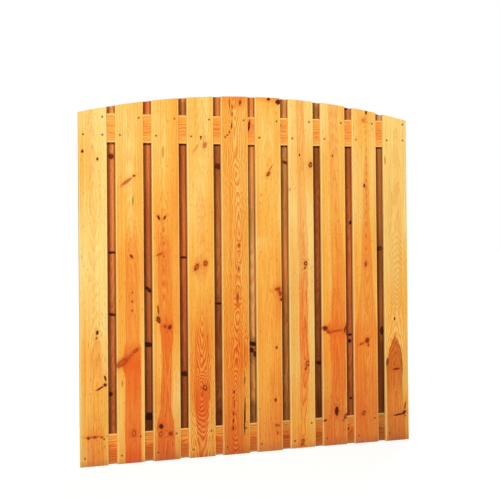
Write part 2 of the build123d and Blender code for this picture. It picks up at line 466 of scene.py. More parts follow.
REAR_BOARDS = {
    1: Sheltered(
        ((0, 0.0), (300, 0.25), (960, 0.2), (1200, -0.25), (1480, 0.2), (1690, -1.0), (1800, -1.1)),
        ((0, 0.5), (310, 0.43), (500, 0.25), (710, 0.31), (960, 0.1), (1210, 0.0)),
        (
            Knot(8, 1490, 17, 15, 40, 0.8), Knot(8, 1022, 24, 7, 0, 1.0), Knot(9, 721, 24, 8, 10, 1.0),
            Knot(-3, 337, 14, 11),
        ),
    ),
    2: Sheltered(
        ((0, 0.4), (1200, 0.5), (1450, -0.1), (1800, 0.4)),
        ((0, 1.0), (190, 1.0), (250, 0.7), (700, 0.43), (1200, 0.38), (1450, 0.18), (1700, 0.05)),
        (
            Knot(12, 837, 22, 10, 50, 1.0), Knot(8, 567, 26, 14, 10, 1.0),
            Knot(9, 215, 26, 22, 0, 1.0), Knot(0, 845, 10, 8),
        ),
    ),
    3: Sheltered(
        ((0, 0.4), (1200, 0.6), (1600, 0.6), (1720, -0.4), (1765, -0.4), (1800, 0.3)),
        (
            (0, 0.75), (300, 0.66), (700, 0.43), (1200, 0.18), (1450, 0.33), (1720, 0.44),
            (1760, 0.44), (1775, 0.1),
        ),
        (Knot(10, 991, 24, 6, 0, 1.0), Knot(10, 414, 20, 16)),
    ),
    4: Sheltered(
        ((0, -0.1), (700, -0.5), (1200, -0.4), (1500, -0.1), (1800, -0.1)),
        (
            (0, 1.0), (200, 0.95), (300, 0.72), (700, 0.72), (950, 0.43), (1200, 0.43), (1500, 0.55),
            (1720, 0.1),
        ),
        (Knot(13, 1446, 20, 18, 30, 0.7), Knot(10, 756, 24, 6, 0, 1.0)),
    ),
    5: Sheltered(
        ((0, -0.9), (950, -1.3), (1250, -1.0), (1600, -0.4), (1800, 0.1)),
        (
            (0, 0.8), (220, 0.75), (300, 0.27), (440, 0.35), (480, 0.6), (560, 0.6), (600, 0.1),
            (950, 0.0), (1200, 0.27), (1500, 0.0),
        ),
        (
            Knot(12, 545, 26, 13, 10, 0.95, 0.2), Knot(4, 514, 18, 14, 30, 0.95, 0.2),
            Knot(22, 494, 10, 19, 0, 0.9, 0.1),
        ),
        heart=0.25,
    ),
    6: Sheltered(
        ((0, -0.5), (490, -0.9), (720, -0.4), (1190, -0.5), (1450, -1.0), (1800, -0.6)),
        ((0, 0.8), (420, 0.54), (710, 0.51), (940, 0.17), (1190, 0.34), (1510, 0.35), (1720, 0.1)),
        (Knot(16, 1470, 18, 9, 20, 0.7),),
        heart=0.3,
    ),
    7: Sheltered(
        ((0, 0.0), (300, -0.2), (700, 0.2), (1200, 0.5), (1450, 0.2), (1700, -0.5), (1800, -0.3)),
        (
            (0, 1.0), (200, 1.0), (300, 0.88), (700, 0.7), (950, 0.53), (1200, 0.6), (1500, 0.72),
            (1750, 0.55), (1780, 0.3),
        ),
        (Knot(15, 430, 20, 12, 0, 0.8),),
    ),
    8: Sheltered(
        ((0, 0.9), (400, 0.9), (500, 0.5), (700, 1.0), (1200, 0.9), (1500, 0.8), (1800, 0.0)),
        (
            (0, 0.72), (300, 0.54), (500, 0.36), (700, 0.38), (950, 0.24), (1200, 0.32), (1500, 0.52),
            (1720, 0.22),
        ),
        (
            Knot(24, 1157, 9, 13, 30, 1.0), Knot(14, 568, 14, 9, 0, 1.0), Knot(12, 535, 12, 12, 0, 1.0),
            Knot(16, 236, 8, 8, 0, 1.0), Knot(3, 1758, 9, 9, 0, 1.0),
        ),
    ),
    9: Sheltered(
        ((0, -0.6), (1200, -0.4), (1600, -0.4), (1690, -1.0), (1800, -1.1)),
        (
            (0, 0.95), (500, 0.92), (560, 0.78), (700, 0.63), (950, 0.73), (1200, 0.5), (1500, 0.43),
            (1700, 0.1),
        ),
        (Knot(11, 1018, 17, 14, 0, 0.9, 0.3, 0.3), Knot(22, 581, 16, 26, 0, 0.9, 0.0)),
    ),
}

# The rails from the top down. Their heights run along them from the left end, and across is downwards.
RAIL_BOARDS = {
    1: Board(
        pith=(),
        ring_width=6.0,
        heart=((0, 0, 36, 0.15), (1800, 0, 36, 0.15)),
        tint=((0, -0.4, -0.3), (850, -0.2, -0.4), (1800, 0.0, -0.3)),
        contrast=((0, 0.7), (1800, 0.7)),
        # Its wider pale edges are partly a painted highlight
        pale_edge_and_highlight=0.1,
        shade=((0, 0.0), (1800, 0.03)),
        knots=(Knot(-26, 884, 32, 7, 8, 1.0, 0.8),),
    ),
    2: Board(
        pith=(),
        ring_width=6.0,
        heart=((0, 30, 50, 0.6), (1800, 30, 50, 0.5)),
        tint=((0, 0.0, 0.1), (1800, 0.0, 0.2)),
        contrast=((0, 0.9), (1800, 0.9)),
        shade=(
            (0, 0.0), (150, 0.0), (340, 0.2), (520, 0.1), (890, 0.16), (1075, 0.36), (1260, 0.34),
            (1440, 0.22), (1630, 0.52),
        ),
        # The lower half of this rail is darker beyond the strip
        lit_strip=(-200, 0, 0.25),
    ),
}


def srgb(red, green, blue):
    """A screen colour, 0 to 255, as the linear colour that shaders take."""
    parts = [value / 255 for value in (red, green, blue)]
    return tuple(p / 12.92 if p <= 0.04045 else ((p + 0.055) / 1.055) ** 2.4 for p in parts)


# Settings that a user would change


def length(name, description, millimetres):
    """A length setting, its default given in millimetres."""
    return FloatProperty(name=name, description=description, default=millimetres * MM, unit="LENGTH")


def paint(name, description, *screen):
    """A colour setting, its default given as a screen colour."""
    return FloatVectorProperty(name=name, description=description, default=srgb(*screen), subtype="COLOR")


def angle(name, description, degrees):
    """An angle setting, its default given in degrees."""
    return FloatProperty(name=name, description=description, default=math.radians(degrees), subtype="ANGLE")


class FENCE_PG_boards(bpy.types.PropertyGroup):
    """Sizes of the surface that dresses each board."""

    edge_round: length("Edge rounding", "Radius of the eased long edges", 2.3)
    edge_wander: length("Edge wander", "How far that radius varies along a board", 0.6)
    planing_dip: length("Planing dip", "Depth of the shallow hollows left by the planer", 0.25)
    knot_groove: length("Knot groove", "Depth of the shrinkage groove round a dark knot", 0.35)
    column_step: length("Column step", "Spacing of the surface grid across a board", 4.2)
    row_step: length("Row step", "Spacing of the surface grid along a board", 7.5)


class FENCE_PG_pine(bpy.types.PropertyGroup):
    """Colours of the pine."""

    sapwood: paint("Sapwood", "Palest outer wood", 253, 224, 138)
    honey: paint("Honey", "Wood between sap and heart", 252, 186, 77)
    orange: paint("Orange", "Resin-rich orange wood", 244, 138, 44)
    heartwood: paint("Heartwood", "Reddest inner wood", 236, 92, 20)
    brown_heart: paint("Brown heartwood", "Heartwood that has turned brown", 208, 106, 36)
    # Sheltered wood is mixed into a rear plank's front face as painted shade in its gap, into a rail's
    # front as a duller tone, and into a front plank's darker foot
    sheltered: paint("Sheltered wood", "Duller wood out of the sun", 204, 128, 92)
    knot_red: paint("Red knot", "Live knots and their halo", 186, 62, 14)
    knot_dark: paint("Dark knot", "Dead knots, cracks and bark", 40, 16, 6)


class FENCE_PG_nails(bpy.types.PropertyGroup):
    """Sizes and colours of the wire nails."""

    head_radius: length("Head radius", "Radius of a nail's head", 3.25)
    head_dome: length("Head dome", "Height of the head's dome above the plank", 0.5)
    segments: IntProperty(name="Segments", description="Facets round a nail", default=14, min=6, max=64)
    steel: paint("Steel", "Stained steel", 150, 90, 30)
    rust: paint("Rust", "Rust on the steel", 116, 58, 12)


class FENCE_PG_stage(bpy.types.PropertyGroup):
    """Camera, lamps and floor."""

    camera_place: FloatVectorProperty(
        name="Camera place",
        description="Where the camera stands",
        default=(-2.4802, -5.8395, 1.1696),
        subtype="TRANSLATION",
    )
    camera_turn: angle("Camera turn", "Turn to the right from looking straight at the front", 23.01)
    camera_tilt: angle("Camera tilt", "Tilt above the horizon", 0.966)
    camera_roll: angle("Camera roll", "Roll about the line of sight", -0.4805)
    camera_lens: FloatProperty(
        name="Lens", description="Focal length in millimetres", default=89.84, subtype="DISTANCE_CAMERA"
    )
    camera_shift: FloatProperty(
        name="Shift", description="Upward shift of the lens, in picture widths", default=-0.1
    )
    key_power: FloatProperty(
        name="Key", description="Power of the front lamp", default=2140.0, subtype="POWER"
    )
    back_power: FloatProperty(
        name="Back", description="Power of the lamp behind the panel", default=420.0, subtype="POWER"
    )
    ambient: FloatProperty(
        name="Ambient", description="Strength of the light from all round", default=0.2, subtype="FACTOR"
    )
    floor_colour: FloatVectorProperty(
        name="Floor", description="Colour of the floor", default=(0.35, 0.35, 0.345), subtype="COLOR"
    )


class FENCE_PG_settings(bpy.types.PropertyGroup):
    """All settings of the panel's looks."""

    boards: PointerProperty(type=FENCE_PG_boards)
    pine: PointerProperty(type=FENCE_PG_pine)
    nails: PointerProperty(type=FENCE_PG_nails)
    stage: PointerProperty(type=FENCE_PG_stage)


# Shader maths


class Wire:
    """An output socket in a node tree. Arithmetic on wires adds Math nodes."""

    def __init__(self, tree, socket):
        self.tree = tree
        self.socket = socket

    def node(self, kind, settings=None, values=None, output=0):
        """Adds a node, sets its settings, then sets or links its sockets, and gives one output."""
        made = self.tree.nodes.new(kind)
        for name, value in (settings or {}).items():
            setattr(made, name, value)
        for key, value in (values or {}).items():
            if isinstance(value, Wire):
                self.tree.links.new(value.socket, made.inputs[key])
            else:
                made.inputs[key].default_value = value
        return Wire(self.tree, made.outputs[output])

    def math(self, operation, first, second=0.0):
        return self.node("ShaderNodeMath", {"operation": operation}, {0: first, 1: second})

    def __add__(self, other):
        return self.math("ADD", self, other)

    def __radd__(self, other):
        return self.math("ADD", other, self)

    def __sub__(self, other):
        return self.math("SUBTRACT", self, other)

    def __rsub__(self, other):
        return self.math("SUBTRACT", other, self)

    def __mul__(self, other):
        return self.math("MULTIPLY", self, other)

    def __rmul__(self, other):
        return self.math("MULTIPLY", other, self)

    def root(self):
        return self.math("SQRT", self)

    def fraction(self):
        return self.math("FRACT", self)

    def fade(self):
        """e to the power of minus the value."""
        return self.math("EXPONENT", 0.0 - self)

    def above(self, floor):
        return self.math("MAXIMUM", self, floor)

    def limited(self):
        """The value kept between 0 and 1."""
        return self.node("ShaderNodeClamp", values={"Value": self})

    def rise(self, low, high):
        """A smooth step from 0 at low to 1 at high."""
        values = {"Value": self, "From Min": low, "From Max": high}
        return self.node("ShaderNodeMapRange", {"interpolation_type": "SMOOTHSTEP"}, values)

    def parts(self):
        """The three numbers of a vector."""
        return [self.node("ShaderNodeSeparateXYZ", values={0: self}, output=n) for n in range(3)]

    def noise(self, stretch, detail=2.0, roughness=0.5):
        """Noise on this vector after it is stretched by three factors."""
        place = self.node("ShaderNodeVectorMath", {"operation": "MULTIPLY"}, {0: self, 1: stretch})
        values = {"Vector": place, "Scale": 1.0, "Detail": detail, "Roughness": roughness}
        return self.node("ShaderNodeTexNoise", values=values)

    def mix(self, other, amount, blend="MIX"):
        """This colour blended towards another by an amount from 0 to 1."""
        settings = {"data_type": "RGBA", "blend_type": blend}
        return self.node("ShaderNodeMix", settings, {0: amount, 6: self, 7: other}, output=2)


def colour(rgb):
    return (*rgb, 1.0)


class Finish:
    """A new material with a Principled shader, and the first wires into it."""

    def __init__(self, name):
        self.material = bpy.data.materials.new(name)
        self.material.use_nodes = True
        self.tree = self.material.node_tree
        self.shader = self.tree.nodes["Principled BSDF"]
        self.wire = Wire(self.tree, None)

    def blend(self, amount, first, second):
        """A colour between two plain colours."""
        values = {0: amount, 6: colour(first), 7: colour(second)}
        return self.wire.node("ShaderNodeMix", {"data_type": "RGBA"}, values, output=2)

    def attribute(self, name):
        """The piece's own vector attribute of that name."""
        return self.wire.node("ShaderNodeAttribute", {"attribute_name": name}, output=1)

    def feed(self, socket, value):
        """Links a wire to one of the shader's sockets, or sets a plain value on it."""
        if isinstance(value, Wire):
            self.tree.links.new(value.socket, self.shader.inputs[socket])
        else:
            self.shader.inputs[socket].default_value = value


class Marks(NamedTuple):
    """One layer of knots or cracks at a point: distance in half sizes, darkness, redness, pale core."""

    distance: Wire
    dark: Wire
    red: Wire
    ring: Wire


def read_marks(finish, layer):
    """Wires of one layer of marks from its two attributes."""
    across, along, _ = finish.attribute(layer).parts()
    dark, red, ring = finish.attribute(layer + "_kind").parts()
    return Marks((across * across + along * along).root(), dark, red, ring)


def pine_finish(name, pine, tone_shift=0.0, dull=0.0, grey=0.0):
    """Planed pine: growth rings round the log's pith, heartwood, fibres, knots, cracks and nail stains.

    The rings are at whole numbers of the distance from the pith, counted in rings. That distance
    wanders with noise and swells round each knot, so the lines flow round it. Tone shift makes the
    wood more orange. Dull greys its front face: painted shade on a rear plank in its gap, a duller tone on
    a rail. Grey greys it where the shade attribute darkens it, towards a front plank's foot.
    """
    finish = Finish(name)
    grain = finish.attribute("grain")
    pith_across, pith_through, contrast = finish.attribute("pith").parts()
    band, heart_strength, brown = finish.attribute("heart").parts()
    # The finish attribute carries pale edges (partly a painted highlight), tone, and darkening (painted
    # shade on the rear planks)
    edge, tint, shade = finish.attribute("finish").parts()
    nail_across, nail_along, on_front = finish.attribute("nail").parts()
    layers = [read_marks(finish, layer) for layer in ("knot_a", "knot_b")]
    cracks = read_marks(finish, "check")

    # Unevenness, from broad bands along the board to single fibres
    broad = grain.noise((13.0, 13.0, 1.5), 2.0)
    streak = grain.noise((150.0, 150.0, 1.6), 3.0, 0.6)
    fibre = grain.noise((800.0, 800.0, 12.0), 2.0)
    wander = grain.noise((24.0, 24.0, 3.0), 2.0)
    squiggle = grain.noise((120.0, 120.0, 22.0), 2.0)
    ragged = grain.noise((110.0, 110.0, 90.0), 3.0, 0.6) - 0.5
    fleck = grain.noise((260.0, 260.0, 45.0), 1.0).rise(0.66, 0.74)

    # Growth rings and the band of heartwood
    radius = (pith_across * pith_across + pith_through * pith_through).root()
    radius = radius + (wander - 0.5) * 3.0 + (squiggle - 0.5) * 1.0
    for marks in layers:
        swell = (marks.distance * marks.distance * 0.35).fade() * (marks.dark + marks.red).limited()
        radius = radius + swell * 2.4
    ring = radius.fraction()
    late = ring.rise(0.2, 0.8) * (1.0 - ring.rise(0.86, 1.0))
    from_heart = (band * band).root() + (wander - 0.5) * 0.3
    from_heart = from_heart + (squiggle - 0.5) * 0.12 + (streak - 0.5) * 0.35
    heart = (1.0 - from_heart.rise(0.86, 1.08)) * heart_strength
    outline = (from_heart - 1.0) * 11.0
    outline = (outline * outline).fade() * brown * heart_strength

    # Plain wood, from sapwood through honey to orange, then heartwood, rings, fibres and pale edges (partly
    # a painted highlight)
    tint = tint + (0.0 - tint).above(0.0) * heart.limited()
    tone = (0.5 + tone_shift + tint * 0.5 + (broad - 0.5) * 0.7 + (streak - 0.5) * 0.9).limited()
    wood = finish.blend((tone * 2.0).limited(), pine.sapwood, pine.honey)
    wood = wood.mix(colour(pine.orange), (tone * 2.0 - 1.0).limited())
    rich = (0.6 + streak * 0.8).limited()
    wood = wood.mix(colour(pine.heartwood), heart * rich * 0.8 * (1.0 - brown))
    wood = wood.mix(colour(pine.brown_heart), heart * brown)
    wood = wood.mix(colour(pine.knot_dark), outline * 0.55)
    # Duller front face: painted shade on a rear plank in its gap, a duller tone on a rail; greyer where the
    # shade attribute darkens the wood
    wood = wood.mix(colour(pine.sheltered), (on_front * dull + shade * grey).limited())
    wood = wood.mix(LATEWOOD, late * contrast, "MULTIPLY")
    wood = wood.mix(DARK_FIBRE, fibre.rise(0.45, 0.75) * 0.5, "MULTIPLY")
    wood = wood.mix(RESIN_FLECK, fleck * 0.75, "MULTIPLY")
    # Pale edges: paler sapwood, partly a painted highlight on the edges and left side faces
    wood = wood.mix(colour(pine.sapwood), edge * 0.7)

    # Knots, each with a red halo, a dark core with year rings, and sometimes a pale eye
    sunk = 0.0
    for marks in layers:
        near = marks.distance + ragged * 0.9
        halo = ((near - 0.6).above(0.0) * 1.7).fade() * marks.red
        wood = wood.mix(colour(pine.knot_red), halo * 0.7)
        core = 1.0 - near.rise(0.7, 1.05)
        year_rings = (marks.distance * 3.5 + ragged).fraction() * 0.3
        knot = finish.blend((marks.dark - year_rings).limited(), pine.knot_red, pine.knot_dark)
        wood = wood.mix(knot, core * (marks.dark + marks.red * 0.5).limited())
        eye = 1.0 - near.rise(0.25, 0.6)
        wood = wood.mix(colour(pine.orange), eye * marks.ring)
        sunk = sunk + core * marks.dark

    # Cracks, stains round the nails, and darkening: painted shade on the rear planks in their gaps, darker
    # towards a front plank's foot and in stretches of the rails
    crack = (1.0 - (cracks.distance + ragged * 0.5).rise(0.6, 1.0)) * cracks.dark
    wood = wood.mix(colour(pine.knot_dark), crack)
    nail_distance = (nail_across * nail_across + nail_along * nail_along).root()
    wood = wood.mix(NAIL_STAIN, ((nail_distance - 1.0).above(0.0) * 2.2).fade() * 0.5, "MULTIPLY")
    wood = wood.mix(SHADE_AND_DARKENING, (shade * (0.8 + streak * 0.4)).limited(), "MULTIPLY")
    finish.feed("Base Color", wood)
    finish.feed("Roughness", (0.55 + (streak - 0.5) * 0.3 + sunk * 0.1).limited())
    finish.feed("Specular IOR Level", 0.12)

    height = late * contrast * 0.5 + fibre * 0.5 - sunk * 0.6 - crack
    relief = {"Strength": 0.45, "Distance": 0.5 * MM, "Height": height}
    finish.feed("Normal", finish.wire.node("ShaderNodeBump", values=relief))
    return finish.material


def nail_finish(name, nails):
    """Dull nail steel, stained brown and mottled with rust."""
    finish = Finish(name)
    place = finish.wire.node("ShaderNodeTexCoord", output=3)
    mottle = place.noise((900.0, 900.0, 900.0), 3.0)
    rust = mottle.rise(0.42, 0.62)
    finish.feed("Base Color", finish.blend(rust, nails.steel, nails.rust))
    finish.feed("Metallic", 0.2 - rust * 0.15)
    finish.feed("Roughness", 0.6 + rust * 0.3)
    finish.feed("Specular IOR Level", 0.2)
    return finish.material


# Surfaces


def eased(points, at):
    """Values on a line of (place, value) points: each span eases from its first point to its last."""
    table = np.array(points, float)
    places = table[:, 0]
    span = np.clip(np.searchsorted(places, at) - 1, 0, len(places) - 2)
    share = np.clip((at - places[span]) / (places[span + 1] - places[span]), 0.0, 1.0)
    share = share * share * (3.0 - 2.0 * share)
    return table[span, 1] + (table[span + 1, 1] - table[span, 1]) * share


def half_profile(half_width, settings, checks):
    """One half of a board's section, from the middle of its left side over the front to the right side.

    Each point is span * (half width - r) + out * r across, and deep * r + flank * (half thickness - r)
    through, for an edge rounding r that may change along the board. Columns gather at cracks.
    """
    arc = np.linspace(0.0, math.pi / 2, 5)
    steps = max(2, round(2 * half_width / settings.column_step))
    face = np.linspace(-1.0, 1.0, steps + 1)[1:-1]
    near = np.array([-2.2, -1.0, -0.4, 0.4, 1.0, 2.2])
    for check in checks:
        inner = (check.across + near * check.wide) * MM / half_width
        face = np.append(face[np.abs(face - inner.mean()) > np.ptp(inner) * 0.62], inner)
    face = np.sort(face)
    flat = np.zeros_like(face)
    span = np.concatenate([[-1.0], np.full(5, -1.0), face, np.full(5, 1.0), [1.0]])
    out = np.concatenate([[-1.0], -np.cos(arc), flat, np.cos(arc[::-1]), [1.0]])
    deep = np.concatenate([[1.0], 1.0 - np.sin(arc), flat, 1.0 - np.sin(arc[::-1]), [1.0]])
    flank = np.zeros_like(span)
    flank[[0, -1]] = 1.0
    return span, out, deep, flank


def ellipse_place(mark, across, along):
    """Place within a leaning ellipse, in half sizes: (across it, along it)."""
    lean = math.radians(mark.lean)
    right = across - mark.across * MM
    up = along - mark.height * MM
    first = (right * math.cos(lean) - up * math.sin(lean)) / (mark.wide * MM)
    second = (right * math.sin(lean) + up * math.cos(lean)) / (mark.tall * MM)
    return first, second


def mark_fields(marks, across, along):
    """At each point, the place within the nearest mark and what kind it is.

    The kind fades to nothing midway between two marks, so blending across a grid cell there draws nothing.
    """
    place = np.full((*across.shape, 3), FAR)
    kind = np.zeros((*across.shape, 3))
    if not marks:
        return place, kind
    local = np.array([ellipse_place(mark, across, along) for mark in marks])
    distance = np.hypot(local[:, 0], local[:, 1])
    nearest = distance.argmin(0)
    place[..., 0] = np.take_along_axis(local[:, 0], nearest[None], 0)[0]
    place[..., 1] = np.take_along_axis(local[:, 1], nearest[None], 0)[0]
    looks = np.array([(mark.dark, mark.red, mark.ring) for mark in marks])
    kind = looks[nearest]
    if len(marks) > 1:
        two = np.partition(distance, 1, axis=0)
        kind = kind * np.clip((two[1] - two[0]) / 0.8, 0.0, 1.0)[..., None]
    return place, kind


def nail_field(nails, across, along, radius):
    """Place round the nearest nail, in head radii."""
    place = np.full((*across.shape, 3), FAR)
    if len(nails):
        local = (np.stack([across, along], -1)[None] - nails[:, None, None, :]) / radius
        nearest = np.hypot(local[..., 0], local[..., 1]).argmin(0)
        place[..., :2] = np.take_along_axis(local, nearest[None, ..., None], 0)[0]
    return place


def crack_share(check, along):
    """Place along a crack: the distance from its middle over its half length, -1 and 1 at its ends."""
    return (along - (check.low + check.high) / 2 * MM) / ((check.high - check.low) / 2 * MM)


def board_surface(width, thickness, low, high, board, seed, settings):
    """A board's closed surface: across, through and along on a grid of rows and columns round it.

    The section is carried from one end to the other: along = low + t * (high(across) - low). The edge
    rounding and shallow hollows wander as sums of a few sines, cracks are V grooves, each knot has a
    groove round its rim, and chips bite into an edge.
    """
    rng = np.random.default_rng(seed)
    span, out, deep, flank = half_profile(width / 2, settings, board.checks)
    rows = max(2, round((high(0.0) - low) / settings.row_step))
    share = np.linspace(0.0, 1.0, rows + 1)[:, None]

    def sines(at, count, longest):
        waves = rng.uniform(0.4, 1.0, count) * longest
        starts = rng.uniform(0.0, 2 * math.pi, count)
        return np.sin(at[..., None] * 2 * math.pi / waves + starts).mean(-1)

    rounding = settings.edge_round + settings.edge_wander * sines(share, 4, 0.6)
    across = span * (width / 2 - rounding) + out * rounding
    through = deep * rounding + flank * (thickness / 2 - rounding)
    on_face = (deep == 0.0) & (flank == 0.0)
    for check in board.checks:
        beyond = crack_share(check, low + share * (high(0.0) - low))
        pull = np.exp(-(((across - check.across * MM) / (5 * check.wide * MM)) ** 2))
        across = across + check.drift * MM * np.clip(beyond, -1.0, 1.0) * pull * on_face
    along = low + share * (high(across) - low)
    taper = 1.0 - np.abs(span) ** 6

    def hollow():
        dip = 0.5 + 0.25 * sines(along, 4, 0.5) + 0.25 * sines(across + along * 0.03, 3, 0.09)
        return settings.planing_dip * dip * taper * on_face

    front = through + hollow()
    back = through + hollow()
    for check in board.checks:
        beyond = crack_share(check, along)
        centre = (check.across + check.drift * np.clip(beyond, -1.0, 1.0)) * MM
        aside = np.abs(across - centre) / (check.wide * MM)
        groove = np.clip(1.0 - aside, 0.0, None) * np.clip(1.0 - beyond**2, 0.0, None) ** 0.5
        front = front + check.depth * MM * groove * on_face
    for knot in board.knots:
        rim = np.hypot(*ellipse_place(knot, across, along)) - 1.0
        front = front + settings.knot_groove * knot.dark * np.exp(-((rim * 2.5) ** 2)) * on_face
    bitten = across
    for chip in board.chips:
        bite = np.exp(-(((along - chip.height * MM) / (chip.tall * MM)) ** 2))
        reach = np.clip((chip.side * span - 0.8) / 0.2, 0.0, 1.0)
        bitten = bitten - chip.side * chip.depth * MM * bite * reach
    loop_across = np.concatenate([bitten, across[:, ::-1]], 1)
    loop_through = np.concatenate([front, thickness - back[:, ::-1]], 1)
    loop_along = np.concatenate([along, along[:, ::-1]], 1)
    return loop_across, loop_through, loop_along


def loop_faces(rows, columns):
    """Quads of a tube of that many rows and columns, with both ends closed by strips across the loop."""
    corner = np.arange(rows * columns).reshape(rows, columns)
    after = np.roll(corner, -1, axis=1)
    wall = np.stack([corner[:-1], after[:-1], after[1:], corner[1:]], -1).reshape(-1, 4)
    half = columns // 2
    front = np.arange(half)
    back = columns - 1 - front
    strip = np.stack([front[:-1], back[:-1], back[1:], front[1:]], -1)
    return np.concatenate([wall, strip, strip[:, ::-1] + (rows - 1) * columns])


def make_mesh(name, points, faces, attributes=None):
    """A mesh object at the origin from arrays of points and quads, with vector attributes on its points."""
    mesh = bpy.data.meshes.new(name)
    mesh.vertices.add(len(points))
    mesh.vertices.foreach_set("co", points.astype(np.float32).ravel())
    mesh.loops.add(faces.size)
    mesh.loops.foreach_set("vertex_index", faces.astype(np.int32).ravel())
    mesh.polygons.add(len(faces))
    mesh.polygons.foreach_set("loop_start", np.arange(0, faces.size, faces.shape[1], dtype=np.int32))
    mesh.update(calc_edges=True)
    mesh.polygons.foreach_set("use_smooth", np.ones(len(faces), bool))
    mesh.set_sharp_from_angle(angle=SHARP)
    for key, values in (attributes or {}).items():
        layer = mesh.attributes.new(key, "FLOAT_VECTOR", "POINT")
        layer.data.foreach_set("vector", values.astype(np.float32).ravel())
    piece = bpy.data.objects.new(name, mesh)
    bpy.context.scene.collection.objects.link(piece)
    return piece


def crack_mark(check):
    """A crack's stain: a dark ellipse as long as the crack, leaning as the crack drifts."""
    lean = math.degrees(math.atan2(2 * check.drift, check.high - check.low))
    middle = (check.low + check.high) / 2
    return Knot(check.across, middle, check.wide, (check.high - check.low) / 2, lean, 1.0, 0.0)


def wood_fields(board, across, through, along, width, nails, nail_radius, seed):
    """The vector attributes that the pine finish reads, at each point of a board."""
    height = along / MM

    def line(points, column=1):
        return eased([(point[0], point[column]) for point in points], height)

    def straight(points, column):
        return np.interp(height, [point[0] for point in points], [point[column] for point in points])

    ring = board.ring_width * MM
    half = np.maximum(line(board.heart, 2), 0.5) * MM
    # Pale edges, partly paler sapwood and partly a painted highlight: left side faces are painted pale all
    # through, as if lit; right ones only within a millimetre of the front
    edge = np.clip((np.abs(across) / (width / 2) - 1.0 + board.pale_edge_and_highlight) / 0.03, 0.0, 1.0)
    edge = np.where(across < 0.0, edge, edge * np.clip(1.0 - through / MM, 0.0, 1.0))
    side = np.clip(across / width + 0.5, 0.0, 1.0)
    on_front = 1.0 - np.clip(through / through.max(), 0.0, 1.0)
    tint = line(board.tint) * (1.0 - side) + line(board.tint, 2) * side - board.far_side * (1.0 - on_front)
    tint = tint + line(board.middle) * (4.0 * side * (1.0 - side)) ** 2
    # Painted shade: darker beyond the strip painted as lit (on a rear plank, the part its gap shows) and by
    # the shade list, fading towards the back face
    left, right, dark = board.lit_strip
    beyond = np.maximum((left - across / MM) / LEFT_DIM, (across / MM - right) / RIGHT_DIM)
    beyond = np.clip(beyond, 0.0, 1.0)
    lit = (1.0 - line(board.shade)) * (1.0 - dark * beyond)
    order = sorted(board.knots, key=lambda knot: knot.height)
    cracks = [crack_mark(check) for check in board.checks]
    fields = {
        "grain": (across + 0.37 * seed, through + 0.11 * seed, along + 2.3 * seed),
        "pith": (
            (across - straight(board.pith, 1) * MM) / ring,
            (through - straight(board.pith, 2) * MM) / ring,
            line(board.contrast),
        ),
        "heart": (
            (across - line(board.heart) * MM) / half,
            line(board.heart, 3),
            np.full_like(along, board.brown),
        ),
        "finish": (edge, tint, (1.0 - lit) * on_front),
    }
    fields = {name: np.stack(parts, -1) for name, parts in fields.items()}
    fields["nail"] = nail_field(nails, across, along, nail_radius)
    fields["nail"][..., 2] = on_front
    for layer, marks in (("knot_a", order[0::2]), ("knot_b", order[1::2]), ("check", cracks)):
        fields[layer], fields[layer + "_kind"] = mark_fields(marks, across, along)
    return fields


def nail_axes(node):
    """(x, z) of each nail: its point is the one place where its shape ends furthest from its head."""
    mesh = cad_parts[node].data
    points = np.empty(len(mesh.vertices) * 3, np.float32)
    mesh.vertices.foreach_get("co", points)
    points = points.reshape(-1, 3).astype(float)
    middle = np.abs(points[:, 1])
    return np.unique(np.round(points[middle < middle.min() + 0.2 * MM][:, [0, 2]], 5), axis=0)


def arch_top():
    """Height of the panel's arch over a place across it.

    The arch is one circle through the crown and the highest corner of an end plank.
    """
    _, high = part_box("front_plank_01")
    crown = cad_box[1].z
    drop = crown - high.z
    radius = (high.x**2 + drop**2) / (2 * drop)
    return lambda x: crown - radius + np.sqrt(radius**2 - np.square(x))


def finish_piece(piece, node, material):
    """Gives a piece its material and puts it in place of its node."""
    piece.data.materials.append(material)
    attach(piece, BODY)
    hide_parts(node)


def dress(node, board, material, settings, seed, nails):
    """Replaces an upright plank by its surface in pine."""
    low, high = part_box(node)
    centre = (low.x + high.x) / 2
    width = high.x - low.x
    arch = arch_top()
    across, through, along = board_surface(
        width, high.y - low.y, low.z, lambda at: arch(at + centre), board, seed, settings.boards
    )
    own = nails[np.abs(nails[:, 0] - centre) < width / 2] - [centre, 0.0]
    fields = wood_fields(board, across, through, along, width, own, settings.nails.head_radius, seed)
    points = np.stack([across + centre, through + low.y, along], -1).reshape(-1, 3)
    piece = make_mesh(node + "_pine", points, loop_faces(*across.shape), fields)
    finish_piece(piece, node, material)


def nodes_named(start):
    """The frame's nodes whose names begin so, in order."""
    found = sorted(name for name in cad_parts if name.startswith(start))
    if not found:
        raise RuntimeError(f"the frame has no node named {start}")
    return found


